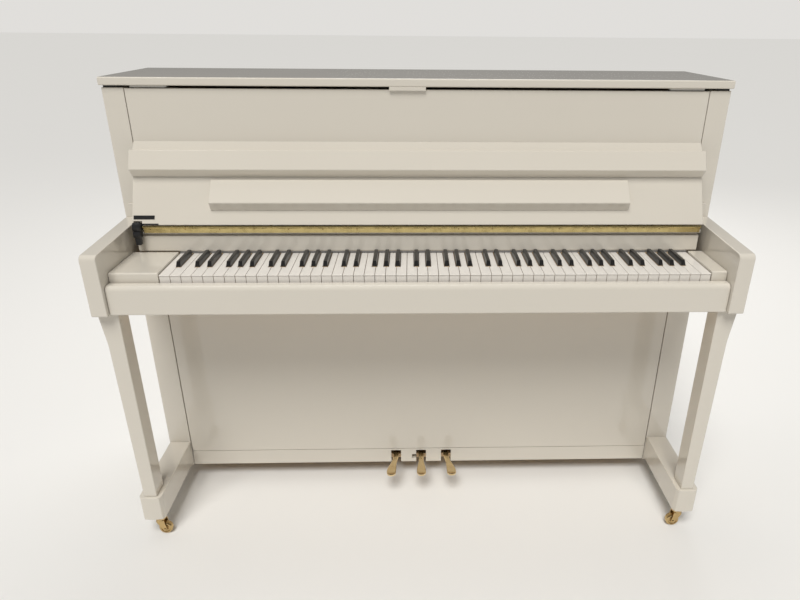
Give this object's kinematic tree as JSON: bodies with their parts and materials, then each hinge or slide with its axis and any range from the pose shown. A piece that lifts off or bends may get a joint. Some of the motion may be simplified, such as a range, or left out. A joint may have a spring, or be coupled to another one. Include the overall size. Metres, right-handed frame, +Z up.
{
  "type": "upright piano",
  "caption": "Polished white upright piano with a full keyboard, folding fallboard and music ledge, hinged lid, pedals, strung back and casters.",
  "frame": {"origin": "on the floor under the centre of the overall bounding box", "axes": "+X towards the player's right, +Y towards the back of the piano, +Z up"},
  "size_m": [1.446, 0.56, 1.113],
  "materials": {
    "case_lacquer": "polished off-white polyester lacquer over board, orange-peel free",
    "key_ivory": "moulded white key tops, satin gloss",
    "key_ebony": "black sharps, satin",
    "brass_fittings": "polished brass",
    "frame_wood": "planed softwood and beech, unvarnished",
    "spruce_board": "spruce with a thin clear varnish",
    "plate_bronze": "cast iron sprayed bronze",
    "string_steel": "drawn steel wire and nickelled pins",
    "felt": "pressed wool felt",
    "damper_black": "black moulded plastic",
    "caster_tread": "dark tread"
  },
  "bodies": {
    "case": {"side_panel_left": "case_lacquer", "side_panel_right": "case_lacquer", "arm_left": "case_lacquer", "arm_right": "case_lacquer", "key_block_left": "case_lacquer", "key_block_right": "case_lacquer", "keybed": "frame_wood", "key_slip": "case_lacquer", "leg_left": "case_lacquer", "leg_right": "case_lacquer", "toe_block_left": "case_lacquer", "toe_block_right": "case_lacquer", "bottom_board": "frame_wood", "bottom_rail": "case_lacquer", "upper_panel": "case_lacquer", "name_strip": "case_lacquer", "fallboard_hinge": "brass_fittings", "fallboard_damper": "damper_black", "back_frame": "frame_wood", "soundboard": "spruce_board", "soundboard_ribs": "spruce_board", "bridges": "frame_wood", "iron_plate": "plate_bronze", "pin_block": "frame_wood", "tuning_pins": "string_steel", "strings": "string_steel", "key_frame": "frame_wood", "action_frame": "frame_wood", "lid_hinge": "brass_fittings", "caster_mounts": "brass_fittings"},
    "lid": {"top_lid": "case_lacquer"},
    "lid_prop": {"lid_prop": "frame_wood"},
    "lower_panel": {"lower_panel": "case_lacquer"},
    "fallboard": {"fallboard": "case_lacquer"},
    "fallboard_lip": {"fallboard_lip": "case_lacquer"},
    "music_ledge": {"music_ledge": "case_lacquer"},
    "pedal_left": {"pedal_left": "brass_fittings"},
    "pedal_middle": {"pedal_middle": "brass_fittings"},
    "pedal_right": {"pedal_right": "brass_fittings"},
    "pedal_rod_left": {"pedal_rod_left": "frame_wood"},
    "pedal_rod_right": {"pedal_rod_right": "frame_wood"},
    "hammers": {"hammers": "frame_wood", "hammer_rail": "frame_wood"},
    "dampers": {"dampers": "felt"},
    "mute_rail": {"mute_rail": "felt"},
    "naturals_bass": {"naturals_bass": "key_ivory"},
    "naturals_treble": {"naturals_treble": "key_ivory"},
    "sharps_bass": {"sharps_bass": "key_ebony"},
    "sharps_treble": {"sharps_treble": "key_ebony"},
    "key_c4": {"key_c4": "key_ivory"},
    "key_c_sharp_4": {"key_c_sharp_4": "key_ebony"},
    "key_d4": {"key_d4": "key_ivory"},
    "key_d_sharp_4": {"key_d_sharp_4": "key_ebony"},
    "key_e4": {"key_e4": "key_ivory"},
    "front_caster_fork_left": {"front_caster_fork_left": "brass_fittings"},
    "front_caster_wheel_left": {"front_caster_wheel_left": "brass_fittings"},
    "rear_caster_wheel_left": {"rear_caster_wheel_left": "caster_tread"},
    "front_caster_fork_right": {"front_caster_fork_right": "brass_fittings"},
    "front_caster_wheel_right": {"front_caster_wheel_right": "brass_fittings"},
    "rear_caster_wheel_right": {"rear_caster_wheel_right": "caster_tread"}
  },
  "joints": [
    {"name": "lid_hinge", "type": "hinge", "parent": "case", "child": "lid", "pos_m": [0, 0.2715, 1.092], "axis": [-1, 0, 0], "range_deg": [0, 100]},
    {"name": "lid_prop_swing", "type": "hinge", "parent": "lid", "child": "lid_prop", "pos_m": [-0.658, 0.021, 1.09], "axis": [-1, 0, 0], "range_deg": [0, 90]},
    {"name": "lower_panel_tilt", "type": "hinge", "parent": "case", "child": "lower_panel", "pos_m": [0, -0.021, 0.0955], "axis": [1, 0, 0], "range_deg": [0, 25]},
    {"name": "fallboard_hinge", "type": "hinge", "parent": "case", "child": "fallboard", "pos_m": [0, -0.106, 0.79], "axis": [1, 0, 0], "range_deg": [0, 132]},
    {"name": "fallboard_lip_fold", "type": "hinge", "parent": "fallboard", "child": "fallboard_lip", "pos_m": [0, -0.04099, 0.92971], "axis": [1, 0, 0], "range_deg": [-90, 0]},
    {"name": "music_ledge_fold", "type": "hinge", "parent": "fallboard", "child": "music_ledge", "pos_m": [0, -0.09365, 0.82636], "axis": [-1, 0, 0], "range_deg": [-88, 0]},
    {"name": "pedal_left_press", "type": "hinge", "parent": "case", "child": "pedal_left", "pos_m": [-0.073, 0.02, 0.072], "axis": [1, 0, 0], "range_deg": [0, 7], "stiffness_Nm_per_rad": 6, "springref_deg": -11.46},
    {"name": "pedal_middle_press", "type": "hinge", "parent": "case", "child": "pedal_middle", "pos_m": [0, 0.02, 0.072], "axis": [1, 0, 0], "range_deg": [0, 7], "stiffness_Nm_per_rad": 6, "springref_deg": -11.46},
    {"name": "pedal_right_press", "type": "hinge", "parent": "case", "child": "pedal_right", "pos_m": [0.073, 0.02, 0.072], "axis": [1, 0, 0], "range_deg": [0, 7], "stiffness_Nm_per_rad": 6, "springref_deg": -11.46},
    {"name": "pedal_rod_left_lift", "type": "slide", "parent": "case", "child": "pedal_rod_left", "axis": [0, 0, 1], "range_m": [0, 0.0112]},
    {"name": "pedal_rod_right_lift", "type": "slide", "parent": "case", "child": "pedal_rod_right", "axis": [0, 0, 1], "range_m": [0, 0.0112]},
    {"name": "hammer_rail_swing", "type": "hinge", "parent": "case", "child": "hammers", "pos_m": [0, 0.058, 0.868], "axis": [1, 0, 0], "range_deg": [-9.9, 0]},
    {"name": "damper_lift", "type": "hinge", "parent": "case", "child": "dampers", "pos_m": [0, 0.0954, 0.765], "axis": [1, 0, 0], "range_deg": [0, 3.5]},
    {"name": "mute_rail_drop", "type": "slide", "parent": "case", "child": "mute_rail", "axis": [0, 0, -1], "range_m": [0, 0.0401]},
    {"name": "naturals_bass_press", "type": "hinge", "parent": "case", "child": "naturals_bass", "pos_m": [0.036, -0.026, 0.6995], "axis": [1, 0, 0], "range_deg": [0, 2.6], "stiffness_Nm_per_rad": 15, "springref_deg": -8.59},
    {"name": "naturals_treble_press", "type": "hinge", "parent": "case", "child": "naturals_treble", "pos_m": [0.036, -0.026, 0.6995], "axis": [1, 0, 0], "range_deg": [0, 2.6], "stiffness_Nm_per_rad": 15, "springref_deg": -8.59},
    {"name": "sharps_bass_press", "type": "hinge", "parent": "case", "child": "sharps_bass", "pos_m": [0.036, -0.026, 0.6995], "axis": [1, 0, 0], "range_deg": [0, 2.6], "stiffness_Nm_per_rad": 15, "springref_deg": -8.59},
    {"name": "sharps_treble_press", "type": "hinge", "parent": "case", "child": "sharps_treble", "pos_m": [0.036, -0.026, 0.6995], "axis": [1, 0, 0], "range_deg": [0, 2.6], "stiffness_Nm_per_rad": 15, "springref_deg": -8.59},
    {"name": "key_c4_press", "type": "hinge", "parent": "case", "child": "key_c4", "pos_m": [0.036, -0.026, 0.6995], "axis": [1, 0, 0], "range_deg": [0, 2.6], "stiffness_Nm_per_rad": 0.6, "springref_deg": -8.59},
    {"name": "key_c_sharp_4_press", "type": "hinge", "parent": "case", "child": "key_c_sharp_4", "pos_m": [0.036, -0.026, 0.6995], "axis": [1, 0, 0], "range_deg": [0, 2.6], "stiffness_Nm_per_rad": 0.6, "springref_deg": -8.59},
    {"name": "key_d4_press", "type": "hinge", "parent": "case", "child": "key_d4", "pos_m": [0.036, -0.026, 0.6995], "axis": [1, 0, 0], "range_deg": [0, 2.6], "stiffness_Nm_per_rad": 0.6, "springref_deg": -8.59},
    {"name": "key_d_sharp_4_press", "type": "hinge", "parent": "case", "child": "key_d_sharp_4", "pos_m": [0.036, -0.026, 0.6995], "axis": [1, 0, 0], "range_deg": [0, 2.6], "stiffness_Nm_per_rad": 0.6, "springref_deg": -8.59},
    {"name": "key_e4_press", "type": "hinge", "parent": "case", "child": "key_e4", "pos_m": [0.036, -0.026, 0.6995], "axis": [1, 0, 0], "range_deg": [0, 2.6], "stiffness_Nm_per_rad": 0.6, "springref_deg": -8.59},
    {"name": "front_caster_swivel_left", "type": "hinge", "parent": "case", "child": "front_caster_fork_left", "pos_m": [-0.682, -0.241, 0.05], "axis": [0, 0, 1], "continuous": true},
    {"name": "front_caster_roll_left", "type": "hinge", "parent": "front_caster_fork_left", "child": "front_caster_wheel_left", "pos_m": [-0.672, -0.241, 0.017], "axis": [0, 1, 0], "continuous": true},
    {"name": "rear_caster_roll_left", "type": "hinge", "parent": "case", "child": "rear_caster_wheel_left", "pos_m": [-0.6, 0.232, 0.025], "axis": [1, 0, 0], "continuous": true},
    {"name": "front_caster_swivel_right", "type": "hinge", "parent": "case", "child": "front_caster_fork_right", "pos_m": [0.682, -0.241, 0.05], "axis": [0, 0, 1], "continuous": true},
    {"name": "front_caster_roll_right", "type": "hinge", "parent": "front_caster_fork_right", "child": "front_caster_wheel_right", "pos_m": [0.672, -0.241, 0.017], "axis": [0, 1, 0], "continuous": true},
    {"name": "rear_caster_roll_right", "type": "hinge", "parent": "case", "child": "rear_caster_wheel_right", "pos_m": [0.6, 0.232, 0.025], "axis": [1, 0, 0], "continuous": true}
  ],
  "couplings": [
    {"joint": "fallboard_lip_fold", "follows": "fallboard_hinge", "ratio": -0.6818},
    {"joint": "pedal_rod_left_lift", "follows": "pedal_left_press", "m_per_rad": 0.088},
    {"joint": "pedal_rod_right_lift", "follows": "pedal_right_press", "m_per_rad": 0.088},
    {"joint": "hammer_rail_swing", "follows": "pedal_left_press", "ratio": -1.4},
    {"joint": "damper_lift", "follows": "pedal_right_press", "ratio": 0.486},
    {"joint": "mute_rail_drop", "follows": "pedal_middle_press", "m_per_rad": 0.3274}
  ]
}
